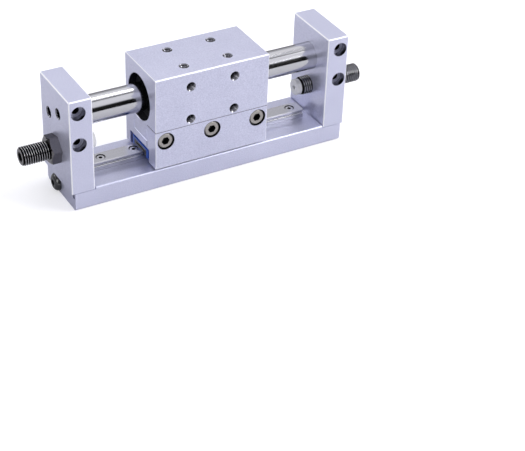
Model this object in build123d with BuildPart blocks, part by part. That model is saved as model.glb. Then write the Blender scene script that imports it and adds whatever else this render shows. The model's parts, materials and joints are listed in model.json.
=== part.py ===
from build123d import *
import os

# Guided magnetic rodless cylinder, 10 mm bore, nominal stroke 50 mm. All sizes are in millimetres.
# X runs along the stroke and is 0 midway between the end plates. Y runs from front to back, and the tube, the
# rail and the adjusting bolts lie on the plane Y = 0. Z is 0 at the base's underside.

# Frame: base and end plates
overall_length = 128.0
plate_thickness = 10.0
body_width = 28.5
plate_height = 42.4
seat_level = 8.4
seat_lip = 0.8
seat_gap = 0.4
base_end_recess = 1.3
base_lower_chamfer = 1.0
edge_break = 0.4
fine_break = 0.2
end_break = 0.2
end_taper_angle = 45.0
seam_break = 0.18
seam_relief_depth = 0.3

# Clearances
thread_gap = 0.03
running_gap = 0.05
slip_gap = 0.03

# Cylinder tube and its gaskets
tube_outer_radius = 6.0
tube_bore_radius = 5.0
tube_axis_z = 37.05
tube_seat_depth = 4.0
tube_end_gap = 0.1
chamber_radius = 3.5
chamber_depth = 2.5
gasket_section = 1.28
gasket_inset = 2.0
gasket_side_room = 0.06

# Guide rail
rail_end_gap = 4.0
rail_width = 7.0
rail_height = 4.8
rail_hole_inset = 5.0
rail_hole_count = 7
rail_hole_radius = 1.2
rail_counterbore_radius = 2.1
rail_counterbore_depth = 2.3
raceway_radius = 0.8
raceway_offset = 0.25
raceway_height = 3.2
rail_edge = 0.3
rail_slot_gap = 0.05

# Guide blocks
guide_height = 8.0
block_width = 17.0
block_length = 22.5
block_ground_gap = 1.5
block_side_gap = 0.25
block_roof_gap = 0.35
block_inset = 0.3
end_cap_length = 4.0
end_cap_step = 0.2
end_seal_thickness = 0.5
end_seal_margin = 1.2
block_screw_x = 4.0
block_screw_y = 6.0

# Slider
slider_length = 52.0
slider_rest_x = -1.2
slider_front_y = -15.2
slider_back_y = 12.8
slider_bottom_gap = 1.1
slider_top_z = 51.8
split_z = 27.7
floor_thickness = 3.6
pocket_gap = 0.15
clamp_seam_y = -7.1
rear_seam_y = 5.0
rear_leg_thickness = 3.9
slider_bore_radius = 10.0
top_hole_y = -1.2
pattern_long = 20.0
pattern_short = 15.0
front_pattern_z = 38.0
tapped_hole_radius = 1.7
top_hole_depth = 5.0
front_hole_depth = 4.5
tapped_hole_edge = 2.1

# Magnetic coupling, outer and inner
magnet_count = 5
yoke_length = 1.0
outer_magnet_bore = 6.6
inner_magnet_radius = 4.55
inner_yoke_radius = 4.75
end_ring_inset = 3.5
end_ring_length = 8.0
end_ring_lip = 1.2
end_ring_lip_radius = 7.0
scraper_length = 2.2
scraper_radius = 8.4
wear_ring_radius = 7.45
part_gap = 0.1

# Piston
shaft_radius = 1.5
shaft_engagement = 7.0
piston_end_length = 10.5
piston_end_radius = 4.75
piston_seal_length = 1.8
piston_seal_inner = 3.4
piston_seal_inset = 6.6
piston_ring_length = 4.0
piston_ring_inner = 4.1
piston_ring_inset = 1.4
piston_bumper_length = 3.0
piston_bumper_radius = 3.8

# Stroke adjusters
adjuster_axis_z = 22.9
bolt_radius = 4.0
bolt_length = 29.4
bolt_end_chamfer = 0.6
bolt_socket = 4.0
bolt_socket_depth = 3.5
left_bolt_outside = 15.7
right_bolt_outside = 14.6
bumper_radius = 3.5
bumper_length = 2.3
bumper_edge = 0.35
bumper_spigot_radius = 1.8
bumper_spigot_length = 2.5
bumper_dimple_radius = 0.9
bumper_dimple_depth = 1.2
nut_across_flats = 11.0
nut_thickness = 4.2
nut_turn = 13.0
nut_face_share = 0.94
nut_bevel_angle = 60.0

# Mounting holes in the front of the end plates
mount_hole_inset = 4.0
mount_hole_upper_z = 45.1
mount_hole_pitch = 14.2
mount_hole_radius = 1.7
mount_counterbore_radius = 3.1
mount_counterbore_depth = 3.3

# Air ports in the left end plate, upper front one and lower rear one
port_radius = 2.1
port_edge = 2.5
port_depth = 4.6
front_port_y = -2.9
front_port_z = 40.1
rear_port_y = 6.6
rear_port_z = 36.1

# Screws under the base, and the plugged air duct through the base
base_screw_inset = 7.6
base_screw_front_y = -7.0
base_screw_rear_y = 10.4
base_screw_hole_radius = 1.7
base_counterbore_radius = 3.4
base_counterbore_depth = 3.4
duct_y = 3.8
duct_z = 4.2
duct_radius = 1.25
plug_thread_depth = 5.4
pin_hole_radius = 1.2
pin_hole_depth = 3.0
pin_hole_y = -12.5
pin_hole_z = 6.4

# Screws: thread radius, length under the head, head radius, head height, key width
m3_thread, m3_length, m3_head, m3_head_height, m3_key = 1.5, 12.0, 2.75, 3.0, 2.5
m4_thread, m4_length, m4_head, m4_head_height, m4_key = 2.0, 20.0, 3.4, 4.0, 3.2
rail_screw_thread, rail_screw_length, rail_screw_head, rail_screw_head_height = 1.0, 6.0, 1.9, 2.0
block_screw_length = 4.4
small_key = 1.5
plug_thread, plug_length, plug_head, plug_head_height, plug_key = 2.0, 5.0, 3.8, 2.2, 2.5
clamp_screw_inset = 4.7
clamp_counterbore_radius = 3.85
clamp_hole_radius = 2.25
clamp_tip_cover = 1.0
key_depth_share = 0.55
head_edge_share = 0.12

# Worked out from the sizes above
outer_x = overall_length / 2
inner_x = outer_x - plate_thickness
front_y = -body_width / 2
base_length = overall_length - 2 * base_end_recess
base_height = seat_level + seat_lip
plate_top_z = seat_level + plate_height
rail_top_z = seat_level + rail_height
block_top_z = seat_level + guide_height
block_bottom_z = seat_level + block_ground_gap
floor_top_z = block_top_z + floor_thickness
slider_bottom_z = base_height + slider_bottom_gap
block_screw_z = floor_top_z - rail_screw_head_height - part_gap
slider_start_x = slider_rest_x - slider_length / 2
pocket_half_width = block_width / 2 + pocket_gap
leg_inner_y = slider_back_y - rear_leg_thickness
raceway_y = rail_width / 2 + raceway_offset
ball_row_radius = raceway_radius - running_gap
slot_half_width = rail_width / 2 + block_side_gap
slot_top_z = rail_top_z + block_roof_gap
rail_length = 2 * (inner_x - rail_end_gap)
rail_hole_pitch = (rail_length - 2 * rail_hole_inset) / (rail_hole_count - 1)
rail_hole_xs = [(i - (rail_hole_count - 1) / 2) * rail_hole_pitch for i in range(rail_hole_count)]
block_offset = slider_length / 2 - block_inset - block_length / 2
block_xs = [slider_rest_x - block_offset, slider_rest_x + block_offset]
clamp_counterbore_depth = m4_head_height + edge_break
clamp_seat_y = slider_front_y + clamp_counterbore_depth
clamp_screw_pitch = slider_length / 2 - clamp_screw_inset
clamp_screw_xs = [slider_rest_x + k * clamp_screw_pitch for k in (-1, 0, 1)]
base_screw_x = outer_x - base_screw_inset
mount_hole_x = outer_x - mount_hole_inset
mount_hole_zs = [mount_hole_upper_z, mount_hole_upper_z - mount_hole_pitch]
stack_length = slider_length - 2 * (end_ring_length + end_ring_inset)
magnet_length = (stack_length - (magnet_count + 1) * yoke_length) / magnet_count
stack_start_x = slider_rest_x - stack_length / 2
outer_part_radius = slider_bore_radius - slip_gap
yoke_xs = [stack_start_x + i * (magnet_length + yoke_length) for i in range(magnet_count + 1)]
magnet_xs = [x + yoke_length for x in yoke_xs[:-1]]
gasket_radius = tube_outer_radius + slip_gap / 2 + gasket_section / 2
gasket_groove_width = gasket_section + 2 * gasket_side_room
piston_half = stack_length / 2 + piston_end_length
left_bumper_x = -outer_x - left_bolt_outside + bolt_length
right_bumper_x = outer_x + right_bolt_outside - bolt_length

MIN_Z = (Align.CENTER, Align.CENTER, Align.MIN)
MAX_Z = (Align.CENTER, Align.CENTER, Align.MAX)


def facing(direction, x, y, z):
    """A plane at the given point whose normal points to the named side."""
    x_dirs_and_normals = {
        "left": ((0, -1, 0), (-1, 0, 0)),
        "right": ((0, 1, 0), (1, 0, 0)),
        "front": ((1, 0, 0), (0, -1, 0)),
        "up": ((1, 0, 0), (0, 0, 1)),
        "down": ((1, 0, 0), (0, 0, -1)),
    }
    x_dir, normal = x_dirs_and_normals[direction]
    return Plane(origin=(x, y, z), x_dir=x_dir, z_dir=normal)


def outward(side):
    """The direction away from the middle, for the left (-1) or right (1) end."""
    return "left" if side < 0 else "right"


def inward(side):
    """The direction towards the middle, for the left (-1) or right (1) end."""
    return "right" if side < 0 else "left"


def cap_screw(thread, length, head, head_height, key):
    """Socket head cap screw with its head on top of Z = 0 and its shank below."""
    with BuildPart() as screw:
        Cylinder(head, head_height, align=MIN_Z)
        chamfer(screw.edges().group_by(Axis.Z)[-1], head * head_edge_share)
        Cylinder(thread, length, align=MAX_Z)
        with BuildSketch(Plane.XY.offset(head_height)):
            RegularPolygon(radius=key / 2, side_count=6, major_radius=False)
        extrude(amount=-head_height * key_depth_share, mode=Mode.SUBTRACT)
    return screw.part


def button_screw(thread, length, head, head_height, key):
    """Button head screw with a domed head on top of Z = 0 and its shank below."""
    with BuildPart() as screw:
        with BuildSketch(Plane.XZ):
            with BuildLine():
                rim = head_height * 0.25
                Line((0, 0), (head, 0))
                Line((head, 0), (head, rim))
                ThreePointArc((head, rim), (head * 0.88, head_height * 0.72), (head * 0.55, head_height))
                Line((head * 0.55, head_height), (0, head_height))
                Line((0, head_height), (0, 0))
            make_face()
        revolve(axis=Axis.Z)
        Cylinder(thread, length, align=MAX_Z)
        with BuildSketch(Plane.XY.offset(head_height)):
            RegularPolygon(radius=key / 2, side_count=6, major_radius=False)
        extrude(amount=-head_height * key_depth_share, mode=Mode.SUBTRACT)
    return screw.part


def ring(x_start, length, outer, inner=0):
    """A plain ring, or with no inner radius a rod, round the tube's axis, from x_start along X."""
    with BuildPart() as body:
        with BuildSketch(facing("right", x_start, 0, tube_axis_z)):
            Circle(outer)
            if inner > 0:
                Circle(inner, mode=Mode.SUBTRACT)
        extrude(amount=length)
    return body.part


def base_plate():
    """Flat base with end seats, the rail's groove and the plugged air duct."""
    with BuildPart() as base:
        Box(base_length, body_width, base_height, align=MIN_Z)
        chamfer(base.edges().filter_by(Axis.X).group_by(Axis.Z)[0], base_lower_chamfer)
        chamfer(base.edges().filter_by(Axis.X).group_by(Axis.Z)[-1], edge_break)
        for side in (-1, 1):
            seat_x = side * (inner_x - seat_gap)
            with BuildSketch(Plane.XY.offset(seat_level)):
                with Locations((seat_x, 0)):
                    Rectangle(
                        plate_thickness + seat_gap,
                        body_width,
                        align=(Align.MIN if side > 0 else Align.MAX, Align.CENTER),
                    )
            extrude(amount=seat_lip, mode=Mode.SUBTRACT)
            with BuildSketch(Plane.XY.offset(seat_level)):
                with Locations((seat_x, front_y), (seat_x, -front_y)):
                    Rectangle(
                        plate_thickness + seat_gap,
                        2 * seam_relief_depth,
                        align=(Align.MIN if side > 0 else Align.MAX, Align.CENTER),
                    )
            extrude(amount=-seam_break, mode=Mode.SUBTRACT)
            end_x = side * base_length / 2
            with Locations(facing(outward(side), end_x, duct_y, duct_z)):
                Hole(plug_thread + thread_gap, plug_thread_depth)
                Hole(duct_radius, base_length / 2)
            with Locations(facing(outward(side), end_x, pin_hole_y, pin_hole_z)):
                Hole(pin_hole_radius, pin_hole_depth)
            for y in (base_screw_front_y, base_screw_rear_y):
                with Locations(facing("down", side * base_screw_x, y, 0)):
                    CounterBoreHole(
                        base_screw_hole_radius, base_counterbore_radius, base_counterbore_depth
                    )
        with BuildSketch(Plane.XY.offset(seat_level)):
            Rectangle(2 * inner_x, rail_width + 2 * rail_slot_gap)
        extrude(amount=seat_lip, mode=Mode.SUBTRACT)
        with Locations(*[facing("up", x, 0, seat_level) for x in rail_hole_xs]):
            Hole(
                rail_screw_thread + thread_gap,
                rail_screw_length - (rail_height - rail_counterbore_depth) + 2 * part_gap,
            )
    return base.part


def end_plate(side):
    """End plate on its seat: tube socket, bolt hole, front mounting holes and tapped holes below."""
    with BuildPart() as plate:
        with Locations((side * (outer_x - plate_thickness / 2), 0, seat_level)):
            Box(plate_thickness, body_width, plate_height, align=MIN_Z)
        chamfer(plate.edges().filter_by(lambda e: e.center().Z > seat_level + edge_break), edge_break)
        with Locations(facing(inward(side), side * inner_x, 0, tube_axis_z)):
            Hole(tube_outer_radius + slip_gap, tube_seat_depth)
            Hole(chamber_radius, tube_seat_depth + chamber_depth)
        with BuildSketch(facing(outward(side), side * (inner_x + gasket_inset), 0, tube_axis_z)):
            Circle(gasket_radius + gasket_section / 2 + slip_gap / 2)
        extrude(amount=gasket_groove_width, mode=Mode.SUBTRACT)
        with Locations(facing(outward(side), side * outer_x, 0, adjuster_axis_z)):
            CounterSinkHole(bolt_radius + running_gap, bolt_radius + edge_break, counter_sink_angle=90)
        for z in mount_hole_zs:
            with Locations(facing("front", side * mount_hole_x, front_y, z)):
                CounterBoreHole(mount_hole_radius, mount_counterbore_radius, mount_counterbore_depth)
        for y in (base_screw_front_y, base_screw_rear_y):
            with Locations(facing("down", side * base_screw_x, y, seat_level)):
                Hole(
                    m3_thread + thread_gap,
                    base_counterbore_depth + m3_length - seat_level + 2 * part_gap,
                )
        if side < 0:
            for y, z in ((front_port_y, front_port_z), (rear_port_y, rear_port_z)):
                with Locations(facing("left", -outer_x, y, z)):
                    CounterSinkHole(port_radius, port_edge, depth=port_depth, counter_sink_angle=90)
    return plate.part


def tube_gaskets():
    """One round-section gasket in the groove of each end plate's socket."""
    with BuildPart() as gaskets:
        for side in (-1, 1):
            x = side * (inner_x + gasket_inset + gasket_groove_width / 2)
            with BuildSketch(Plane.XZ):
                with Locations((x, tube_axis_z + gasket_radius)):
                    Circle(gasket_section / 2)
            revolve(axis=Axis((0, 0, tube_axis_z), (1, 0, 0)))
    return gaskets.part


def guide_rail():
    """Profile rail with a ball raceway in each side and counterbored holes from above."""
    with BuildPart() as rail:
        with BuildSketch(facing("right", -rail_length / 2, 0, seat_level)):
            Rectangle(rail_width, rail_height, align=(Align.CENTER, Align.MIN))
            with Locations((raceway_y, raceway_height), (-raceway_y, raceway_height)):
                Circle(raceway_radius, mode=Mode.SUBTRACT)
        extrude(amount=rail_length)
        chamfer(rail.edges().filter_by(Axis.X).group_by(Axis.Z)[-1], rail_edge)
        with Locations(*[facing("up", x, 0, rail_top_z) for x in rail_hole_xs]):
            CounterBoreHole(rail_hole_radius, rail_counterbore_radius, rail_counterbore_depth)
    return rail.part


def block_section(plane, width, bottom, top, ball_rows):
    """The block's section: a bridge over the rail, with ball rows that reach into the raceways."""
    with BuildSketch(plane) as section:
        with Locations((0, bottom)):
            Rectangle(width, top - bottom, align=(Align.CENTER, Align.MIN))
            Rectangle(
                2 * slot_half_width,
                slot_top_z - seat_level - bottom,
                align=(Align.CENTER, Align.MIN),
                mode=Mode.SUBTRACT,
            )
        if ball_rows:
            with Locations((raceway_y, raceway_height), (-raceway_y, raceway_height)):
                Circle(ball_row_radius)
    return section.sketch


def guide_block(centre_x):
    """Steel body of one guide block, bored for the table's screws."""
    body_length = block_length - 2 * (end_cap_length + end_seal_thickness)
    start = facing("right", centre_x - body_length / 2, 0, seat_level)
    section = block_section(start, block_width, block_ground_gap, guide_height, True)
    with BuildPart() as block:
        extrude(section, amount=body_length)
        chamfer(block.edges().filter_by(Axis.X).group_by(Axis.Z)[-1], edge_break)
        for dx in (-block_screw_x, block_screw_x):
            for y in (-block_screw_y, block_screw_y):
                with Locations(facing("up", centre_x + dx, y, block_top_z)):
                    Hole(
                        rail_screw_thread + thread_gap,
                        block_screw_length - (block_screw_z - block_top_z) + part_gap,
                    )
    return block.part


def block_end_caps():
    """Moulded return caps, one at each end of each block."""
    sections = []
    for centre_x in block_xs:
        for start_x in (centre_x - block_length / 2 + end_seal_thickness,
                        centre_x + block_length / 2 - end_seal_thickness - end_cap_length):
            start = facing("right", start_x, 0, seat_level)
            sections.append(block_section(
                start, block_width - 2 * end_cap_step, block_ground_gap + end_cap_step,
                guide_height - end_cap_step, False))
    with BuildPart() as caps:
        for section in sections:
            extrude(section, amount=end_cap_length)
    return caps.part


def block_end_seals():
    """Thin wiper plates on the outer faces of the end caps."""
    sections = []
    for centre_x in block_xs:
        for start_x in (centre_x - block_length / 2,
                        centre_x + block_length / 2 - end_seal_thickness):
            start = facing("right", start_x, 0, seat_level)
            sections.append(block_section(
                start, block_width - 2 * (end_cap_step + end_seal_margin),
                block_ground_gap + end_cap_step + end_seal_margin,
                guide_height - end_cap_step - end_seal_margin, False))
    with BuildPart() as seals:
        for section in sections:
            extrude(section, amount=end_seal_thickness)
    return seals.part


def corners(sketch, ys, z):
    """The corners of a slider piece's section at one height, for the given Y positions."""
    def matches(vertex):
        return abs(vertex.Y - z) < 0.001 and min(abs(vertex.X - y) for y in ys) < 0.001
    return sketch.vertices().filter_by(matches)


def add_tapered_ends(builder):
    """Adds the last fraction of a slider piece at both ends, tapered so that every end edge is broken."""
    for end_face in (builder.faces().sort_by(Axis.X)[0], builder.faces().sort_by(Axis.X)[-1]):
        extrude(end_face, amount=end_break, taper=end_taper_angle)


def magnet_housing():
    """Upper block of the slider, bored for the magnets, with the tongue that the lower parts clamp."""
    with BuildPart() as housing:
        with BuildSketch(facing("right", slider_start_x + end_break, 0, 0)) as section:
            with BuildLine():
                Polyline(
                    (slider_front_y, split_z),
                    (slider_front_y, slider_top_z),
                    (slider_back_y, slider_top_z),
                    (slider_back_y, split_z),
                    (rear_seam_y, split_z),
                    (rear_seam_y, floor_top_z),
                    (clamp_seam_y, floor_top_z),
                    (clamp_seam_y, split_z),
                    close=True,
                )
            make_face()
            chamfer(corners(section, (slider_front_y, slider_back_y), slider_top_z), edge_break)
            chamfer(corners(section, (slider_front_y, slider_back_y), split_z), seam_break)
        extrude(amount=slider_length - 2 * end_break)
        add_tapered_ends(housing)
        with Locations(facing("left", slider_start_x, 0, tube_axis_z)):
            Hole(slider_bore_radius, slider_length)
        chamfer(housing.edges().filter_by(GeomType.CIRCLE), fine_break)
        with Locations(facing("up", slider_rest_x, top_hole_y, slider_top_z)):
            with GridLocations(pattern_long, pattern_short, 2, 2):
                CounterSinkHole(
                    tapped_hole_radius, tapped_hole_edge, depth=top_hole_depth, counter_sink_angle=90
                )
        for dx in (-pattern_long / 2, pattern_long / 2):
            for dz in (-pattern_short / 2, pattern_short / 2):
                with Locations(facing("front", slider_rest_x + dx, slider_front_y, front_pattern_z + dz)):
                    CounterSinkHole(
                        tapped_hole_radius,
                        tapped_hole_edge,
                        depth=front_hole_depth,
                        counter_sink_angle=90,
                    )
        with Locations(*[facing("front", x, clamp_seam_y, adjuster_axis_z) for x in clamp_screw_xs]):
            Hole(clamp_hole_radius, rear_seam_y - clamp_seam_y)
    return housing.part


def guide_table():
    """Rear half of the slider's lower part: floor over the guide blocks and the leg behind them."""
    with BuildPart() as table:
        with BuildSketch(facing("right", slider_start_x + end_break, 0, 0)) as section:
            with BuildLine():
                Polyline(
                    (clamp_seam_y, block_top_z),
                    (clamp_seam_y, floor_top_z),
                    (rear_seam_y, floor_top_z),
                    (rear_seam_y, split_z),
                    (slider_back_y, split_z),
                    (slider_back_y, slider_bottom_z),
                    (leg_inner_y, slider_bottom_z),
                    (leg_inner_y, block_top_z),
                    close=True,
                )
            make_face()
            chamfer(corners(section, (slider_back_y,), slider_bottom_z), edge_break)
            chamfer(corners(section, (slider_back_y,), split_z), seam_break)
        extrude(amount=slider_length - 2 * end_break)
        add_tapered_ends(table)
        with Locations(*[facing("front", x, rear_seam_y, adjuster_axis_z) for x in clamp_screw_xs]):
            Hole(m4_thread + thread_gap, slider_back_y - rear_seam_y - clamp_tip_cover)
        for centre_x in block_xs:
            for dx in (-block_screw_x, block_screw_x):
                with Locations(facing("up", centre_x + dx, -block_screw_y, floor_top_z)):
                    CounterBoreHole(
                        rail_hole_radius,
                        rail_counterbore_radius,
                        floor_top_z - block_screw_z,
                        depth=floor_thickness,
                    )
                with Locations(facing("up", centre_x + dx, block_screw_y, split_z)):
                    CounterBoreHole(
                        rail_hole_radius,
                        rail_counterbore_radius,
                        split_z - block_screw_z,
                        depth=split_z - block_top_z,
                    )
    return table.part


def front_clamp_plate():
    """Front plate of the slider's lower part, with a counterbored hole for each clamp screw."""
    with BuildPart() as plate:
        with BuildSketch(facing("right", slider_start_x + end_break, 0, 0)) as section:
            with BuildLine():
                Polyline(
                    (slider_front_y, slider_bottom_z),
                    (slider_front_y, split_z),
                    (clamp_seam_y, split_z),
                    (clamp_seam_y, block_top_z),
                    (-pocket_half_width, block_top_z),
                    (-pocket_half_width, slider_bottom_z),
                    close=True,
                )
            make_face()
            chamfer(corners(section, (slider_front_y,), slider_bottom_z), edge_break)
            chamfer(corners(section, (slider_front_y,), split_z), seam_break)
        extrude(amount=slider_length - 2 * end_break)
        add_tapered_ends(plate)
        with Locations(*[facing("front", x, slider_front_y, adjuster_axis_z) for x in clamp_screw_xs]):
            CounterBoreHole(clamp_hole_radius, clamp_counterbore_radius, clamp_counterbore_depth)
        for centre_x in block_xs:
            for dx in (-block_screw_x, block_screw_x):
                with Locations(facing("up", centre_x + dx, -block_screw_y, split_z)):
                    CounterBoreHole(
                        rail_hole_radius,
                        rail_counterbore_radius,
                        split_z - block_screw_z,
                        depth=split_z - block_top_z,
                    )
    return plate.part


def slider_end_rings():
    """Sleeves pressed into both ends of the slider's bore, stepped for scraper and wear ring."""
    sleeves = []
    for side in (-1, 1):
        face_x = slider_rest_x + side * (slider_length / 2 - end_ring_inset)
        plane = facing(inward(side), face_x, 0, tube_axis_z)
        with BuildPart() as sleeve:
            with BuildSketch(plane):
                Circle(outer_part_radius)
                Circle(end_ring_lip_radius, mode=Mode.SUBTRACT)
            extrude(amount=end_ring_length)
            with BuildSketch(plane.offset(end_ring_lip)):
                Circle(scraper_radius + slip_gap)
            extrude(amount=scraper_length + 2 * part_gap, mode=Mode.SUBTRACT)
            with BuildSketch(plane.offset(end_ring_lip + scraper_length + 2 * part_gap)):
                Circle(wear_ring_radius + slip_gap)
            extrude(
                amount=end_ring_length - end_ring_lip - scraper_length - 2 * part_gap,
                mode=Mode.SUBTRACT,
            )
        sleeves.append(sleeve.part)
    return group(sleeves)


def group(pieces):
    """Several separate solids as one part."""
    with BuildPart() as joined:
        for piece in pieces:
            add(piece)
    return joined.part


def slider_scrapers():
    """Wiper rings in the end rings' outer step."""
    pieces = []
    for side in (-1, 1):
        near = slider_length / 2 - end_ring_inset - end_ring_lip - part_gap
        centre = slider_rest_x + side * (near - scraper_length / 2)
        pieces.append(ring(
            centre - scraper_length / 2, scraper_length, scraper_radius, tube_outer_radius + running_gap))
    return group(pieces)


def slider_wear_rings():
    """Plain bearings in the end rings' inner step."""
    length = end_ring_length - end_ring_lip - scraper_length - 4 * part_gap
    pieces = []
    for side in (-1, 1):
        centre = slider_rest_x + side * (stack_length / 2 + part_gap + length / 2)
        pieces.append(ring(
            centre - length / 2, length, wear_ring_radius, tube_outer_radius + running_gap))
    return group(pieces)


def piston_end(side):
    """Aluminium end of the piston, grooved for its wear ring and its seal."""
    start_x = slider_rest_x + side * stack_length / 2
    plane = facing(outward(side), start_x, 0, tube_axis_z)
    with BuildPart() as end:
        with BuildSketch(plane):
            Circle(piston_end_radius)
        extrude(amount=piston_end_length)
        with BuildSketch(plane):
            Circle(shaft_radius + slip_gap)
        extrude(amount=shaft_engagement + part_gap, mode=Mode.SUBTRACT)
        for inset, length, inner in (
            (piston_ring_inset, piston_ring_length, piston_ring_inner),
            (piston_seal_inset, piston_seal_length, piston_seal_inner),
        ):
            with BuildSketch(plane.offset(inset)):
                Circle(piston_end_radius)
                Circle(inner, mode=Mode.SUBTRACT)
            extrude(amount=length + 2 * part_gap, mode=Mode.SUBTRACT)
    return end.part


def piston_rings(inset, length, inner):
    """A ring in the same groove of each piston end, running on the tube's bore."""
    pieces = []
    for side in (-1, 1):
        centre = slider_rest_x + side * (stack_length / 2 + inset + part_gap + length / 2)
        pieces.append(ring(
            centre - length / 2, length, tube_bore_radius - running_gap, inner + slip_gap))
    return group(pieces)


def piston_bumpers():
    """Soft pads on both ends of the piston."""
    with BuildPart() as pads:
        for side in (-1, 1):
            start_x = slider_rest_x + side * piston_half
            with BuildSketch(facing(outward(side), start_x, 0, tube_axis_z)):
                Circle(piston_bumper_radius)
            extrude(amount=piston_bumper_length)
        chamfer(pads.edges().group_by(Axis.X)[0] + pads.edges().group_by(Axis.X)[-1], fine_break)
    return pads.part


def adjusting_bolt(side, bumper_x):
    """Headless fine-thread bolt: hexagon socket outside, pocket for the bumper's spigot inside."""
    plane = facing(outward(side), bumper_x, 0, adjuster_axis_z)
    with BuildPart() as bolt:
        with BuildSketch(plane):
            Circle(bolt_radius)
        extrude(amount=bolt_length)
        chamfer(bolt.edges().filter_by(GeomType.CIRCLE), bolt_end_chamfer)
        with BuildSketch(plane):
            Circle(bumper_spigot_radius + running_gap)
        extrude(amount=bumper_spigot_length + part_gap, mode=Mode.SUBTRACT)
        with BuildSketch(plane.offset(bolt_length)):
            RegularPolygon(radius=bolt_socket / 2, side_count=6, major_radius=False)
        extrude(amount=-bolt_socket_depth, mode=Mode.SUBTRACT)
    return bolt.part


def stop_bumper(side, bumper_x):
    """Urethane tip with a centre dimple, held by its spigot in the bolt."""
    plane = facing(inward(side), bumper_x, 0, adjuster_axis_z)
    with BuildPart() as bumper:
        with BuildSketch(plane):
            Circle(bumper_radius)
        extrude(amount=bumper_length)
        fillet(bumper.edges().filter_by(GeomType.CIRCLE), bumper_edge)
        with BuildSketch(plane):
            Circle(bumper_spigot_radius)
        extrude(amount=-bumper_spigot_length)
        with BuildSketch(plane.offset(bumper_length)):
            Circle(bumper_dimple_radius)
        extrude(amount=-bumper_dimple_depth, mode=Mode.SUBTRACT)
    return bumper.part


def lock_nut(side):
    """Thin hexagon nut against the outside of an end plate."""
    plane = facing(outward(side), side * outer_x, 0, adjuster_axis_z)
    with BuildPart() as nut:
        with BuildSketch(plane):
            RegularPolygon(
                radius=nut_across_flats / 2, side_count=6, major_radius=False, rotation=-side * nut_turn
            )
        extrude(amount=nut_thickness)
        with BuildSketch(plane.offset(nut_thickness)):
            Circle(nut_across_flats / 2 * nut_face_share)
        extrude(amount=-nut_thickness, taper=-nut_bevel_angle, mode=Mode.INTERSECT)
        with BuildSketch(plane):
            Circle(bolt_radius + running_gap)
        extrude(amount=nut_thickness, mode=Mode.SUBTRACT)
    return nut.part


base_screw = cap_screw(m3_thread, m3_length, m3_head, m3_head_height, m3_key)
clamp_screw = cap_screw(m4_thread, m4_length, m4_head, m4_head_height, m4_key)
rail_screw = cap_screw(
    rail_screw_thread, rail_screw_length, rail_screw_head, rail_screw_head_height, small_key
)
block_screw = cap_screw(
    rail_screw_thread, block_screw_length, rail_screw_head, rail_screw_head_height, small_key
)
duct_plug = button_screw(plug_thread, plug_length, plug_head, plug_head_height, plug_key)


def placed(screw, planes):
    """A group of equal screws, one on each plane."""
    with BuildPart() as screws:
        with Locations(*planes):
            add(screw)
    return screws.part


base_screw_planes = [
    facing("down", side * base_screw_x, y, base_counterbore_depth)
    for side in (-1, 1)
    for y in (base_screw_front_y, base_screw_rear_y)
]
block_screw_planes = [
    facing("up", centre_x + dx, y, block_screw_z)
    for centre_x in block_xs
    for dx in (-block_screw_x, block_screw_x)
    for y in (-block_screw_y, block_screw_y)
]
rail_screw_z = rail_top_z - rail_counterbore_depth
tube_half_length = inner_x + tube_seat_depth - tube_end_gap

parts = {
    "base_plate": base_plate(),
    "left_end_plate": end_plate(-1),
    "right_end_plate": end_plate(1),
    "cylinder_tube": ring(-tube_half_length, 2 * tube_half_length, tube_outer_radius, tube_bore_radius),
    "tube_gaskets": tube_gaskets(),
    "guide_rail": guide_rail(),
    "rail_screws": placed(rail_screw, [facing("up", x, 0, rail_screw_z) for x in rail_hole_xs]),
    "base_screws": placed(base_screw, base_screw_planes),
    "duct_plugs": placed(duct_plug, [
        facing(outward(side), side * base_length / 2, duct_y, duct_z) for side in (-1, 1)
    ]),
    "left_lock_nut": lock_nut(-1),
    "right_lock_nut": lock_nut(1),
    "magnet_housing": magnet_housing(),
    "guide_table": guide_table(),
    "front_clamp_plate": front_clamp_plate(),
    "clamp_screws": placed(clamp_screw, [
        facing("front", x, clamp_seat_y, adjuster_axis_z) for x in clamp_screw_xs
    ]),
    "outer_magnets": group([
        ring(x, magnet_length, outer_part_radius, outer_magnet_bore) for x in magnet_xs
    ]),
    "outer_yokes": group([
        ring(x, yoke_length, outer_part_radius, outer_magnet_bore) for x in yoke_xs
    ]),
    "slider_end_rings": slider_end_rings(),
    "slider_scrapers": slider_scrapers(),
    "slider_wear_rings": slider_wear_rings(),
    "guide_block_left": guide_block(block_xs[0]),
    "guide_block_right": guide_block(block_xs[1]),
    "block_end_caps": block_end_caps(),
    "block_end_seals": block_end_seals(),
    "block_screws": placed(block_screw, block_screw_planes),
    "piston_shaft": ring(
        slider_rest_x - stack_length / 2 - shaft_engagement, stack_length + 2 * shaft_engagement,
        shaft_radius),
    "piston_magnets": group([
        ring(x, magnet_length, inner_magnet_radius, shaft_radius + slip_gap) for x in magnet_xs
    ]),
    "piston_yokes": group([
        ring(x, yoke_length, inner_yoke_radius, shaft_radius + slip_gap) for x in yoke_xs
    ]),
    "left_piston_end": piston_end(-1),
    "right_piston_end": piston_end(1),
    "piston_seals": piston_rings(piston_seal_inset, piston_seal_length, piston_seal_inner),
    "piston_wear_rings": piston_rings(piston_ring_inset, piston_ring_length, piston_ring_inner),
    "piston_bumpers": piston_bumpers(),
    "left_adjusting_bolt": adjusting_bolt(-1, left_bumper_x),
    "left_stop_bumper": stop_bumper(-1, left_bumper_x),
    "right_adjusting_bolt": adjusting_bolt(1, right_bumper_x),
    "right_stop_bumper": stop_bumper(1, right_bumper_x),
}

os.makedirs("parts", exist_ok=True)
for label, part in parts.items():
    part.label = label
    export_step(part, "parts/" + label + ".step")
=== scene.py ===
import json
import math
import bpy
from mathutils import Matrix, Vector


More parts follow.
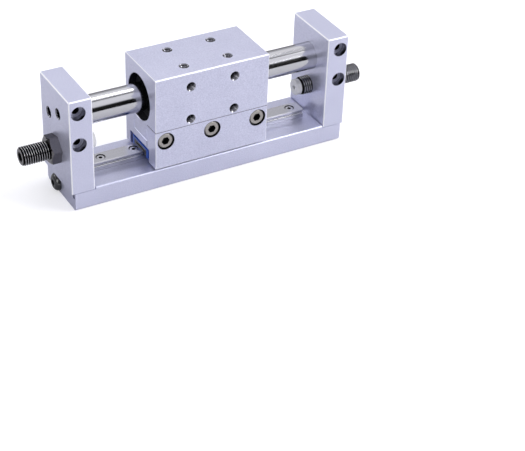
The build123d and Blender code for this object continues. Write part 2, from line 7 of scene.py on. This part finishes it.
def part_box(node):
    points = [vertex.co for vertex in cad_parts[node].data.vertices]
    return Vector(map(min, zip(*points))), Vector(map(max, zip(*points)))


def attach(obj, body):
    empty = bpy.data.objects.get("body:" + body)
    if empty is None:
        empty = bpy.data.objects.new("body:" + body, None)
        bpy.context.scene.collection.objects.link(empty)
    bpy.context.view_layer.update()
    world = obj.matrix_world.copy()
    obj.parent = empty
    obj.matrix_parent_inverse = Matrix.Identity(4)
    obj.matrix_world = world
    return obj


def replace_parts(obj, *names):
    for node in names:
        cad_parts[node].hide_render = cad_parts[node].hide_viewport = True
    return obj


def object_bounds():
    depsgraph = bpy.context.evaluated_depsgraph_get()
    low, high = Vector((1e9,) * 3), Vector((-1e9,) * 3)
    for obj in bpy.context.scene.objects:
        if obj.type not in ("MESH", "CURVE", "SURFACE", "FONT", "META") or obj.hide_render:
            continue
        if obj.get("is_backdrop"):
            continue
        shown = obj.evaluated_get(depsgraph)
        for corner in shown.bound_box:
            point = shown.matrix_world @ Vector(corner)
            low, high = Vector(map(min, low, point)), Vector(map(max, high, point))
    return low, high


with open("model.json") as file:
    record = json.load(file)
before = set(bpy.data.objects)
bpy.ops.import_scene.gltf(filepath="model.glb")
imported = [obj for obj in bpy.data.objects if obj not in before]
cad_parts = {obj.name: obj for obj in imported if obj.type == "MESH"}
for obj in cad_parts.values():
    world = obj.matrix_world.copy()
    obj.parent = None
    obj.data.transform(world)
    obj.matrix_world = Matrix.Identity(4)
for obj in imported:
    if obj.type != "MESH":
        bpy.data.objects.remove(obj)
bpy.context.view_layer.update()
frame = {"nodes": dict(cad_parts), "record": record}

MM = 0.001
nodes = frame["nodes"]

# Places and sizes of the CAD features that get a paint or a thread of their own, in millimetres
TUBE_Z = 37.05
TUBE_BORE_RADIUS = 10.1
BOLT_Z = 22.9
BOLT_THREAD_RADIUS = 3.99
BOLT_ROOT_RADIUS = 3.40
BOLT_CREST_RADIUS = 3.78
BOLT_CREST_FADE = 0.18
BOLT_PITCH = 1.0
BOLT_THREAD_DEPTH = 0.56
BOLT_CHAMFER = 0.62
BOLT_SOCKET_DEPTH = 4.0
BOLT_SOCKET_RADIUS = 2.4
PLATE_X = {"left_end_plate": -60.0, "right_end_plate": 60.0}
PLATE_FRONT_Y = -14.25
PLATE_HOLE_Z = (45.1, 30.9)
PLATE_COUNTERBORE_RADIUS = 3.2
PLATE_COUNTERBORE_DEPTH = 3.35
PLATE_HOLE_RADIUS = 1.8
PORT_MOUTHS = [(-64.0, -2.9, 40.1), (-64.0, 6.6, 36.1)]
PORT_RADIUS = 2.6
BASE_SEAM_Z = 8.4
SPLIT_Z = 27.7
SPLIT_Y = -7.1
SLIDER_X = -1.2
SLIDER_Y = -1.2
SLIDER_LEFT_X = -27.2
SLIDER_TOP_Z = 51.8
SLIDER_FRONT_Y = -15.2
FRONT_HOLES_Z = 38.0
TAPPED_SPACING = (20.0, 15.0)
TAPPED_MOUTH_RADIUS = 2.2
TAPPED_RADIUS = 1.69
TAPPED_CHAMFER = 0.45
TAPPED_THREAD_PITCH = 0.7
TAPPED_THREAD_DEPTH = 0.22
TOP_THREAD_LENGTH = 4.4
FRONT_THREAD_LENGTH = 4.0
CLAMP_X = (-22.5, -1.2, 20.1)
CLAMP_COUNTERBORE_RADIUS = 4.0
CLAMP_SCREW_TOP_Y = -14.8
CLAMP_SOCKET_RADIUS = 1.95
RAIL_X = range(-45, 46, 15)
RAIL_COUNTERBORE_Z = 13.2
RAIL_COUNTERBORE_RADIUS = 2.2
RAIL_SCREW_TOP_Z = 12.9
RAIL_SOCKET_RADIUS = 0.9
PLUG_MOUTH = (-64.9, 3.8, 4.2)
PLUG_SOCKET_RADIUS = 1.5
SEAL_HALF_WIDTH = 5.6
SEAL_FOOT_Z = 8.4
SEAL_HEIGHT = 5.9

# Millimetres within which a face counts as lying on an edge, a seam or a surface
EDGE_ZONE = 0.45
SKIN = 0.02
# Largest share of one axis in the normal of a 45 degree chamfer
CHAMFER_NORMAL = (0.70, 0.715)


class Field:
    """A node socket that takes part in Python arithmetic and makes Math nodes."""

    def __init__(self, tree, socket):
        self.tree = tree
        self.socket = socket

    def node(self, kind, inputs=(), output=0):
        made = self.tree.nodes.new(kind)
        for key, value in dict(inputs).items():
            self.feed(made.inputs[key], value)
        return Field(self.tree, made.outputs[output])

    def feed(self, target, value):
        if isinstance(value, Field):
            self.tree.links.new(value.socket, target)
        else:
            target.default_value = value

    def math(self, operation, *values):
        made = self.tree.nodes.new("ShaderNodeMath")
        made.operation = operation
        for index, value in enumerate((self, *values)):
            self.feed(made.inputs[index], value)
        return Field(self.tree, made.outputs[0])

    def __add__(self, other):
        return self.math("ADD", other)

    def __sub__(self, other):
        return self.math("SUBTRACT", other)

    def __mul__(self, other):
        return self.math("MULTIPLY", other)

    def __truediv__(self, other):
        return self.math("DIVIDE", other)

    def least(self, other):
        return self.math("MINIMUM", other)

    def most(self, other):
        return self.math("MAXIMUM", other)

    def fract(self):
        return self.math("FRACT")

    def size(self):
        return self.math("ABSOLUTE")

    def sin(self):
        return self.math("SINE")

    def cos(self):
        return self.math("COSINE")

    def power(self, exponent):
        return self.math("POWER", exponent)

    def clamped(self):
        return self.most(0.0).least(1.0)


def xyz(field):
    """The three components of a vector field."""
    made = field.tree.nodes.new("ShaderNodeSeparateXYZ")
    field.tree.links.new(field.socket, made.inputs[0])
    return [Field(field.tree, out) for out in made.outputs]


def vector(x, y, z):
    """A vector made from three fields."""
    made = x.tree.nodes.new("ShaderNodeCombineXYZ")
    for index, value in enumerate((x, y, z)):
        x.feed(made.inputs[index], value)
    return Field(x.tree, made.outputs[0])


# Materials
def new_material(name, **constants):
    """A Principled material with its constants set, its shader and a field of its Object coordinates."""
    material = bpy.data.materials.new(name)
    material.use_nodes = True
    tree = material.node_tree
    shader = tree.nodes["Principled BSDF"]
    for key, value in constants.items():
        shader.inputs[key.replace("_", " ")].default_value = value
    coords = tree.nodes.new("ShaderNodeTexCoord")
    return material, shader, Field(tree, coords.outputs["Object"])


def noise(place, scale, detail=2.0, stretch=(1.0, 1.0, 1.0)):
    """Noise between 0 and 1 at a scale per metre, stretched along the axes."""
    x, y, z = xyz(place)
    point = vector(x * stretch[0], y * stretch[1], z * stretch[2])
    return point.node("ShaderNodeTexNoise", {"Vector": point, "Scale": scale, "Detail": detail})


def mix_color(factor, low, high):
    """A colour between two, by a factor; each colour is RGBA or a field."""
    made = factor.tree.nodes.new("ShaderNodeMix")
    made.data_type = "RGBA"
    factor.feed(made.inputs[0], factor)
    factor.feed(made.inputs[6], low)
    factor.feed(made.inputs[7], high)
    return Field(factor.tree, made.outputs[2])


def tint(shader, factor, low, high):
    """Sets the base colour between two RGB colours, by a factor."""
    factor.feed(shader.inputs["Base Color"], mix_color(factor, (*low, 1.0), (*high, 1.0)))


def texture(shader, pattern, roughness, spread, relief, depth):
    """Sets roughness and normal from one pattern; the depth of the relief is in metres."""
    pattern.feed(shader.inputs["Roughness"], pattern * spread + roughness)
    heights = {"Height": pattern, "Strength": relief, "Distance": depth}
    pattern.feed(shader.inputs["Normal"], pattern.node("ShaderNodeBump", heights))


def blasted(name, low, high, metallic, roughness, relief):
    """Aluminium with a fine bead-blasted grain in colour, roughness and surface."""
    material, shader, place = new_material(name, Metallic=metallic)
    cloud = noise(place, 60.0, 3.0)
    grain = noise(place, 2600.0, 2.0)
    tint(shader, (cloud * 0.35 + grain * 1.7 - 0.52).clamped(), low, high)
    texture(shader, grain, roughness, 0.10, relief, 0.00010)
    return material


def polished(name, low, high):
    """Polished steel with faint lines along X."""
    material, shader, place = new_material(name, Metallic=1.0)
    lines = noise(place, 900.0, 2.0, (0.02, 1.0, 1.0))
    tint(shader, lines, low, high)
    texture(shader, lines, 0.10, 0.05, 0.01, 0.00002)
    return material


def steel(name, low, high, roughness, stretch=(0.03, 1.0, 1.0), scale=2600.0, relief=0.03, spread=0.12):
    """Ground or turned steel with fine lines."""
    material, shader, place = new_material(name, Metallic=1.0)
    lines = noise(place, scale, 3.0, stretch)
    tint(shader, lines, low, high)
    texture(shader, lines, roughness, spread, relief, 0.00003)
    return material


def moulded(name, low, high, roughness, **constants):
    """A moulded or plain material with a slightly uneven colour."""
    material, shader, place = new_material(name, **constants)
    cloud = noise(place, 900.0, 3.0)
    tint(shader, cloud, low, high)
    texture(shader, cloud, roughness, 0.10, 0.03, 0.00003)
    return material


def thread_steel_painted_root_shade():
    """Dark steel, bright on a thread's crests and with painted shade below them, black in the roots, round
    the adjusting bolts' axis.
    """
    material, shader, place = new_material("thread_steel_painted_root_shade", Metallic=1.0, Roughness=0.14)
    _, y, z = xyz(place)
    height = z - BOLT_Z * MM
    radius = (y * y + height * height).power(0.5)
    # Below the crest radius the colour fades to black: painted shade in the thread's roots
    crest = ((radius - BOLT_CREST_RADIUS * MM) / (BOLT_CREST_FADE * MM)).clamped()
    tint(shader, crest, (0.004, 0.004, 0.004), (0.42, 0.42, 0.43))
    return material


def seal_and_cap():
    """Black rubber round the rail and blue plastic beyond it, on the outer face of a guide block's end."""
    material, shader, place = new_material("seal_and_cap", Roughness=0.35)
    _, y, z = xyz(place)
    across = y.size() / (SEAL_HALF_WIDTH * MM)
    above = (z - SEAL_FOOT_Z * MM) / (SEAL_HEIGHT * MM)
    beyond = ((across.most(above) - 1.0) * 40.0).clamped()
    tint(shader, beyond, (0.010, 0.010, 0.011), (0.012, 0.070, 0.380))
    return material


EVEN = (1.0, 1.0, 1.0)
MATERIALS = {
    "anodised_aluminium": blasted(
        "anodised_aluminium", (0.48, 0.49, 0.635), (0.70, 0.71, 0.86), 0.72, 0.29, 0.30
    ),
    "polished_tube": polished("polished_tube", (0.52, 0.52, 0.54), (0.60, 0.60, 0.62)),
    "ground_steel": steel(
        "ground_steel", (0.52, 0.52, 0.55), (0.57, 0.57, 0.60), 0.22, relief=0.0, spread=0.03
    ),
    "screw_steel": steel("screw_steel", (0.33, 0.31, 0.29), (0.47, 0.45, 0.42), 0.26, (1.0, 0.05, 1.0)),
    "dark_steel": steel(
        "dark_steel", (0.12, 0.115, 0.12), (0.17, 0.165, 0.17), 0.08, EVEN, 1500.0, spread=0.06
    ),
    "dark_ring": moulded(
        "dark_ring", (0.004, 0.004, 0.005), (0.008, 0.008, 0.009), 0.45, Specular_IOR_Level=0.12
    ),
    "magnet_alloy": steel("magnet_alloy", (0.20, 0.20, 0.22), (0.30, 0.30, 0.32), 0.34),
    "black_rubber": moulded("black_rubber", (0.010, 0.010, 0.011), (0.018, 0.018, 0.020), 0.55),
    "bearing_plastic": moulded("bearing_plastic", (0.060, 0.045, 0.032), (0.080, 0.060, 0.045), 0.40),
    "blue_plastic": moulded(
        "blue_plastic", (0.010, 0.055, 0.330), (0.016, 0.080, 0.420), 0.24, Coat_Weight=0.4
    ),
    "pale_urethane": moulded(
        "pale_urethane", (0.66, 0.66, 0.67), (0.72, 0.72, 0.72), 0.20, Coat_Weight=0.6
    ),
}
# Near-white on outer chamfers: bare cut metal, lightened to a painted highlight. Darker grey on chamfers at
# seams: painted shade
CUT_EDGE_PAINTED_HIGHLIGHT = blasted("cut_edge_painted_highlight", (0.90, 0.90, 0.96), (0.98, 0.98, 1.00), 0.2, 0.45, 0.05)
SEAM_SHADE = blasted("seam_shade", (0.16, 0.16, 0.21), (0.22, 0.22, 0.28), 0.6, 0.45, 0.05)
# Dark steel inside holes and bores and on the tapped threads: bare bored metal, darkened to painted shade in
# these recesses
BORED_METAL_PAINTED_SHADE = steel("bored_metal_painted_shade", (0.17, 0.17, 0.19), (0.25, 0.25, 0.28), 0.16, EVEN)
# Near-black painted shade deep in sockets, through holes and counterbores
SOCKET_PAINTED_SHADE = moulded("socket_painted_shade", (0.006, 0.006, 0.007), (0.010, 0.010, 0.011), 0.30, Metallic=0.6)
BLACK_STEEL = steel("black_steel", (0.07, 0.07, 0.07), (0.12, 0.12, 0.12), 0.12, EVEN, 1500.0)
THREAD_STEEL_PAINTED_ROOT_SHADE = thread_steel_painted_root_shade()
OWN_FINISH = {"block_end_seals": seal_and_cap(), "duct_plugs": BLACK_STEEL}

slot_of = {row["node"]: row["material_slot"] for row in frame["record"]["subparts"]}
for name, obj in nodes.items():
    obj.data.materials.clear()
    obj.data.materials.append(OWN_FINISH.get(name) or MATERIALS[slot_of[name]])


# Painted highlights on the CAD nodes' outer edges, painted shade at their seams and in their holes
def paint_edges(name, seams):
    """Paints near-white onto the chamfers along a node's outer edges, a painted highlight on bare cut metal,
    and darker painted shade onto those at seams.

    A seam is an axis and the level on it, in millimetres.
    """
    low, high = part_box(name)
    mesh = nodes[name].data
    edge_index = len(mesh.materials)
    mesh.materials.append(CUT_EDGE_PAINTED_HIGHLIGHT)
    mesh.materials.append(SEAM_SHADE)
    zone = EDGE_ZONE * MM
    for face in mesh.polygons:
        if not CHAMFER_NORMAL[0] < max(abs(n) for n in face.normal) < CHAMFER_NORMAL[1]:
            continue
        near = sum(min(c - a, b - c) < zone for a, b, c in zip(low, high, face.center))
        if any(abs(face.center[axis] - level * MM) < zone for axis, level in seams):
            face.material_index = edge_index + 1
        elif near >= 2:
            face.material_index = edge_index


def paint_holes(name, material, direction, mouths, radius, start=SKIN, floors=True):
    """Paints the inside of holes from a depth on, as painted shade; sizes are in millimetres, the direction
    points out.
    """
    mesh = nodes[name].data
    mesh.materials.append(material)
    index = len(mesh.materials) - 1
    out = Vector(direction)
    for face in mesh.polygons:
        for mouth in mouths:
            offset = face.center - Vector(mouth) * MM
            along = offset.dot(out)
            across = (offset - out * along).length
            flat = abs(face.normal.dot(out)) > 0.9
            if across < radius * MM and along < -start * MM and (floors or not flat):
                face.material_index = index


def tapped_grid(place):
    """The mouths of four tapped holes; place turns two distances from the middle into a point."""
    half_x, half_y = (spacing / 2 for spacing in TAPPED_SPACING)
    return [place(x, y) for x in (-half_x, half_x) for y in (-half_y, half_y)]


FRONT, LEFT, UP = (0, -1, 0), (-1, 0, 0), (0, 0, 1)
top_grid = tapped_grid(lambda x, y: (SLIDER_X + x, SLIDER_Y + y, SLIDER_TOP_Z))
front_grid = tapped_grid(lambda x, y: (SLIDER_X + x, SLIDER_FRONT_Y, FRONT_HOLES_Z + y))
tube_bore = [(SLIDER_LEFT_X, 0.0, TUBE_Z)]
clamp_holes = [(x, SLIDER_FRONT_Y, BOLT_Z) for x in CLAMP_X]
clamp_sockets = [(x, CLAMP_SCREW_TOP_Y, BOLT_Z) for x in CLAMP_X]
rail_holes = [(x, 0.0, RAIL_COUNTERBORE_Z) for x in RAIL_X]
rail_sockets = [(x, 0.0, RAIL_SCREW_TOP_Z) for x in RAIL_X]

# Outer chamfers get the painted highlight, chamfers at these seams the painted shade
for name in PLATE_X:
    paint_edges(name, [(2, BASE_SEAM_Z)])
paint_edges("magnet_housing", [(2, SPLIT_Z)])
for name in ("guide_table", "front_clamp_plate"):
    paint_edges(name, [(2, SPLIT_Z), (1, SPLIT_Y)])

# Painted shade inside the plates' counterbores and through holes, the ports, the bore, the tapped holes, the
# counterbores and the sockets
for name, x in PLATE_X.items():
    mouths = [(x, PLATE_FRONT_Y, z) for z in PLATE_HOLE_Z]
    paint_holes(name, BORED_METAL_PAINTED_SHADE, FRONT, mouths, PLATE_COUNTERBORE_RADIUS, floors=False)
    paint_holes(name, SOCKET_PAINTED_SHADE, FRONT, mouths, PLATE_HOLE_RADIUS, start=PLATE_COUNTERBORE_DEPTH)
paint_holes("left_end_plate", BORED_METAL_PAINTED_SHADE, LEFT, PORT_MOUTHS, PORT_RADIUS)
paint_holes("magnet_housing", BORED_METAL_PAINTED_SHADE, UP, top_grid, TAPPED_MOUTH_RADIUS)
paint_holes("magnet_housing", BORED_METAL_PAINTED_SHADE, LEFT, tube_bore, TUBE_BORE_RADIUS)
paint_holes("magnet_housing", BORED_METAL_PAINTED_SHADE, FRONT, front_grid, TAPPED_MOUTH_RADIUS)
paint_holes("front_clamp_plate", BORED_METAL_PAINTED_SHADE, FRONT, clamp_holes, CLAMP_COUNTERBORE_RADIUS)
paint_holes("clamp_screws", SOCKET_PAINTED_SHADE, FRONT, clamp_sockets, CLAMP_SOCKET_RADIUS)
paint_holes("guide_rail", SOCKET_PAINTED_SHADE, UP, rail_holes, RAIL_COUNTERBORE_RADIUS)
paint_holes("rail_screws", SOCKET_PAINTED_SHADE, UP, rail_sockets, RAIL_SOCKET_RADIUS)
paint_holes("duct_plugs", SOCKET_PAINTED_SHADE, LEFT, [PLUG_MOUTH], PLUG_SOCKET_RADIUS)


# Threads from geometry nodes. The defaults are in metres; every piece sets its own sizes.
THREAD_SIZES = {
    "Length": 0.02, "Radius": 0.004, "Pitch": 0.001, "Depth": 0.0006, "End Chamfer": 0.0006,
    "Rows": 200, "Columns": 64,
}
CREST_FLAT = 0.16
FLANK_SLOPE = 1.4
ROWS_PER_MM = 16


def geometry_tree(name, sizes):
    """A geometry tree with named size inputs and one geometry output."""
    tree = bpy.data.node_groups.new(name, "GeometryNodeTree")
    tree.interface.new_socket("Geometry", in_out="OUTPUT", socket_type="NodeSocketGeometry")
    for key, default in sizes.items():
        kind = "NodeSocketInt" if isinstance(default, int) else "NodeSocketFloat"
        tree.interface.new_socket(key, in_out="INPUT", socket_type=kind).default_value = default
    entry = tree.nodes.new("NodeGroupInput")
    return tree, {key: Field(tree, entry.outputs[key]) for key in sizes}


def finish_tree(tree, geometry, material):
    """Realises instances, sets the material and ends the tree."""
    real = geometry.node("GeometryNodeRealizeInstances", {"Geometry": geometry})
    painted = real.node("GeometryNodeSetMaterial", {"Geometry": real, "Material": material})
    leave = tree.nodes.new("NodeGroupOutput")
    tree.links.new(painted.socket, leave.inputs[0])


def thread_surface(tree, sizes):
    """A helical thread surface round X, starting at X = 0."""
    start = Field(tree, None)
    length = sizes["Length"]
    grid = start.node(
        "GeometryNodeMeshGrid",
        {"Size X": length, "Size Y": 1.0, "Vertices X": sizes["Rows"], "Vertices Y": sizes["Columns"]},
        output="Mesh",
    )
    x, y, _ = xyz(start.node("GeometryNodeInputPosition"))
    along = x + length * 0.5
    turn = y + 0.5
    ridge = ((along / sizes["Pitch"] - turn).fract() * 2.0 - 1.0).size()
    flank = ((ridge - CREST_FLAT) * FLANK_SLOPE).clamped()
    radius = sizes["Radius"] - flank * sizes["Depth"]
    near_end = along.least(length - along)
    chamfered = radius.least(sizes["Radius"] - sizes["End Chamfer"] + near_end)
    angle = turn * (2.0 * math.pi)
    place = vector(along, chamfered * angle.cos(), chamfered * angle.sin())
    moved = start.node("GeometryNodeSetPosition", {"Geometry": grid, "Position": place})
    joined = start.node("GeometryNodeMergeByDistance", {"Geometry": moved, "Distance": 1e-6})
    return start.node("GeometryNodeSetShadeSmooth", {"Geometry": joined, "Shade Smooth": True})


def rod_thread_tree(material):
    """One outer thread."""
    tree, sizes = geometry_tree("rod_thread", THREAD_SIZES)
    finish_tree(tree, thread_surface(tree, sizes), material)
    return tree


def hole_threads_tree(material):
    """Inner threads in a rectangle of holes along local X, the rectangle lying in local Y and Z."""
    tree, sizes = geometry_tree("hole_threads", {**THREAD_SIZES, "Spacing Y": 0.02, "Spacing Z": 0.015})
    surface = thread_surface(tree, sizes)
    turned = surface.node("GeometryNodeFlipFaces", {"Mesh": surface})
    grid = surface.node(
        "GeometryNodeMeshGrid",
        {"Size X": sizes["Spacing Y"], "Size Y": sizes["Spacing Z"], "Vertices X": 2, "Vertices Y": 2},
        output="Mesh",
    )
    x, y, _ = xyz(surface.node("GeometryNodeInputPosition"))
    upright = surface.node(
        "GeometryNodeSetPosition", {"Geometry": grid, "Position": vector(x * 0.0, x, y)}
    )
    placed = surface.node("GeometryNodeInstanceOnPoints", {"Points": upright, "Instance": turned})
    finish_tree(tree, placed, material)
    return tree


def grown(name, tree, matrix, **sizes):
    """A plain mesh piece from a geometry tree, with its place in its vertices."""
    obj = bpy.data.objects.new(name, bpy.data.meshes.new(name))
    bpy.context.scene.collection.objects.link(obj)
    modifier = obj.modifiers.new("tree", "NODES")
    modifier.node_group = tree
    keys = {item.name: item.identifier for item in tree.interface.items_tree if item.in_out == "INPUT"}
    for key, value in sizes.items():
        modifier[keys[key.replace("_", " ")]] = value
    bpy.context.view_layer.update()
    evaluated = obj.evaluated_get(bpy.context.evaluated_depsgraph_get())
    made = bpy.data.meshes.new_from_object(evaluated)
    obj.modifiers.clear()
    obj.data = made
    made.transform(matrix)
    return obj


def lying(direction, x, y, z):
    """The matrix that turns local +X to a direction at a point given in millimetres."""
    turn = Vector((1, 0, 0)).rotation_difference(Vector(direction)).to_matrix().to_4x4()
    return Matrix.Translation(Vector((x, y, z)) * MM) @ turn


# The bolts' threads carry painted shade, black in their roots
rod_tree = rod_thread_tree(THREAD_STEEL_PAINTED_ROOT_SHADE)
# The tapped holes' threads carry the dark painted shade of the bores
hole_tree = hole_threads_tree(BORED_METAL_PAINTED_SHADE)


def paint_socket(mesh, outer_end):
    """Darkens the inside of the hexagon socket in a bolt's outer end with near-black painted shade."""
    mesh.materials.append(SOCKET_PAINTED_SHADE)
    for face in mesh.polygons:
        depth = abs(face.center.x - outer_end)
        off_axis = math.hypot(face.center.y, face.center.z - BOLT_Z * MM)
        if SKIN * MM < depth < BOLT_SOCKET_DEPTH * MM and off_axis < BOLT_SOCKET_RADIUS * MM:
            face.material_index = 1


def bolt_core(side_name, outer_end, root_radius):
    """The CAD bolt with its outside drawn in to the thread's root; socket and end faces stay."""
    mesh = nodes[side_name + "_adjusting_bolt"].data.copy()
    axis_z = BOLT_Z * MM
    for vertex in mesh.vertices:
        offset = Vector((0.0, vertex.co.y, vertex.co.z - axis_z))
        if offset.length > root_radius:
            offset *= root_radius / offset.length
            vertex.co.y = offset.y
            vertex.co.z = axis_z + offset.z
    core = bpy.data.objects.new(side_name + "_bolt_core", mesh)
    paint_socket(mesh, outer_end)
    bpy.context.scene.collection.objects.link(core)
    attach(core, side_name + "_adjuster")
    return core


# The adjusting bolts
for side_name, direction in (("left", 1), ("right", -1)):
    low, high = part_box(side_name + "_adjusting_bolt")
    outer_end = (low if side_name == "left" else high).x
    length = high.x - low.x
    thread = grown(
        side_name + "_bolt_thread",
        rod_tree,
        lying((direction, 0, 0), outer_end / MM, 0, BOLT_Z),
        Length=length,
        Radius=BOLT_THREAD_RADIUS * MM,
        Pitch=BOLT_PITCH * MM,
        Depth=BOLT_THREAD_DEPTH * MM,
        End_Chamfer=BOLT_CHAMFER * MM,
        Rows=int(length / MM * ROWS_PER_MM),
        Columns=72,
    )
    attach(thread, side_name + "_adjuster")
    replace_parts(thread, side_name + "_adjusting_bolt")
    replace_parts(bolt_core(side_name, outer_end, BOLT_ROOT_RADIUS * MM), side_name + "_adjusting_bolt")

# The slider's tapped holes. Their wider spacing runs along the world's X, which is Y or Z in a hole's frame.
top_threads = (SLIDER_X, SLIDER_Y, SLIDER_TOP_Z - TAPPED_CHAMFER)
front_threads = (SLIDER_X, SLIDER_FRONT_Y + TAPPED_CHAMFER, FRONT_HOLES_Z)
for name, direction, centre, depth in (
    ("slider_top_threads", (0, 0, -1), top_threads, TOP_THREAD_LENGTH),
    ("slider_front_threads", (0, 1, 0), front_threads, FRONT_THREAD_LENGTH),
):
    turn = lying(direction, *centre)
    world_x = turn.inverted().to_3x3() @ Vector((1, 0, 0))
    spacing_y, spacing_z = TAPPED_SPACING
    if abs(world_x.z) > abs(world_x.y):
        spacing_y, spacing_z = spacing_z, spacing_y
    threads = grown(
        name,
        hole_tree,
        turn,
        Length=depth * MM,
        Radius=TAPPED_RADIUS * MM,
        Pitch=TAPPED_THREAD_PITCH * MM,
        Depth=TAPPED_THREAD_DEPTH * MM,
        End_Chamfer=0.0,
        Rows=int(depth * ROWS_PER_MM),
        Columns=32,
        Spacing_Y=spacing_y * MM,
        Spacing_Z=spacing_z * MM,
    )
    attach(threads, "slider")


# Floor, world, lamps and camera, in metres
FLOOR_SIZE = 1.8
FLOOR_GLOW = 0.46
# The world as all but the camera see it: levels from 0 to 1, and steps in the share of a direction that
# points backwards (depth) or upwards (height)
ROOM_STRENGTH = 1.50
FRONT_SKY_LEVEL = 0.70
FRONT_SKY_FOOT = 0.44
BACK_SKY_LEVEL = 0.50
DARK_LINE_DEPTH = -0.14
STEP_SLOPE = 8.0
# Each lamp: name, place, point it aims at, width and height, power in watts
LAMPS = (
    ("overhead", (0.72, -0.05, 0.70), (0, 0, 0.02), (0.50, 0.50), 2.0),
    ("back_high", (0.10, 0.42, 0.62), (0, 0, 0.02), (0.7, 0.4), 0.3),
    ("right_front", (1.50, -1.00, 0.80), (0, 0, 0.03), (1.05, 0.90), 37.0),
    ("top_strip", (0.17, 0.19, 0.67), (0, 0, 0.03), (0.36, 0.12), 0.8),
    ("back_left", (-0.55, 0.62, 0.40), (0, 0, 0.03), (0.25, 0.25), 0.7),
    ("left_front", (-1.00, -0.60, 0.45), (0, 0, 0.03), (0.70, 0.60), 3.6),
)
CAMERA_PLACE = (-0.2556, -0.4821, 0.3458)
CAMERA_RIGHT = (0.8689, -0.4937, 0.0349)
CAMERA_FORWARD = (0.4225, 0.7033, -0.5717)
CAMERA_LENS = 103.12
CAMERA_SENSOR = 36.0


def flat_sheet(name, size, z):
    """A square sheet facing up."""
    half = size / 2
    corners = [(-half, -half, z), (half, -half, z), (half, half, z), (-half, half, z)]
    mesh = bpy.data.meshes.new(name)
    mesh.from_pydata(corners, [], [(0, 1, 2, 3)])
    sheet = bpy.data.objects.new(name, mesh)
    bpy.context.scene.collection.objects.link(sheet)
    sheet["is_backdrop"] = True
    return sheet


def area_light(name, location, target, size, power):
    """A soft rectangular lamp at a place, aimed at a point."""
    data = bpy.data.lights.new(name, "AREA")
    data.shape = "RECTANGLE"
    data.size, data.size_y = size
    data.energy = power
    lamp = bpy.data.objects.new(name, data)
    lamp.location = location
    lamp.rotation_mode = "QUATERNION"
    lamp.rotation_quaternion = (Vector(target) - Vector(location)).to_track_quat("-Z", "Y")
    bpy.context.scene.collection.objects.link(lamp)


def grey(level):
    """A neutral RGBA colour."""
    return (level, level, level, 1.0)


# The floor is lit by the lamps, and glows for the camera alone, which keeps it white but for its shadow
floor = flat_sheet("floor", FLOOR_SIZE, 0.0)
floor_material, floor_shader, floor_place = new_material(
    "floor_white", Base_Color=(0.58, 0.58, 0.60, 1.0), Roughness=0.9, Emission_Strength=1.0
)
floor.data.materials.append(floor_material)
floor_seen = floor_place.node("ShaderNodeLightPath", output="Is Camera Ray")
floor_place.feed(
    floor_shader.inputs["Emission Color"], mix_color(floor_seen, grey(0.0), grey(FLOOR_GLOW))
)

# The world is white for the camera. Reflections see a bright front and a dimmer back, both rising from a
# black horizon, with a dark line near the zenith, which give the polished tube its bands.
world = bpy.data.worlds.new("studio")
bpy.context.scene.world = world
world.use_nodes = True
world_tree = world.node_tree
background = world_tree.nodes["Background"]
look = Field(world_tree, world_tree.nodes.new("ShaderNodeTexCoord").outputs["Generated"])
seen = look.node("ShaderNodeLightPath", output="Is Camera Ray")
_, depth, height = xyz(look)
behind = (depth * STEP_SLOPE + 0.5).clamped()
front_sky = ((height - FRONT_SKY_FOOT) * STEP_SLOPE).clamped() * FRONT_SKY_LEVEL
back_sky = (height * 1.6 + 0.10).clamped() * BACK_SKY_LEVEL
dark_line = ((depth - DARK_LINE_DEPTH).size() * 13.0 - 0.25).clamped()
sky = (front_sky + (back_sky - front_sky) * behind) * dark_line
surround = mix_color(sky, grey(0.003), (1.0, 1.0, 1.06, 1.0))
look.feed(background.inputs["Color"], mix_color(seen, surround, grey(1.0)))
look.feed(background.inputs["Strength"], seen * (1.0 - ROOM_STRENGTH) + ROOM_STRENGTH)

for lamp in LAMPS:
    area_light(*lamp)

camera_data = bpy.data.cameras.new("camera")
camera_data.sensor_width = CAMERA_SENSOR
camera_data.lens = CAMERA_LENS
camera_data.clip_start = 0.01
camera_data.clip_end = 20.0
camera = bpy.data.objects.new("camera", camera_data)
bpy.context.scene.collection.objects.link(camera)
right = Vector(CAMERA_RIGHT).normalized()
forward = Vector(CAMERA_FORWARD).normalized()
up = right.cross(forward).normalized()
right = forward.cross(up).normalized()
turned = Matrix((right, up, -forward)).transposed().to_4x4()
camera.matrix_world = Matrix.Translation(CAMERA_PLACE) @ turned
bpy.context.scene.camera = camera
bpy.context.scene.view_settings.view_transform = "Standard"

low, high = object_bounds()
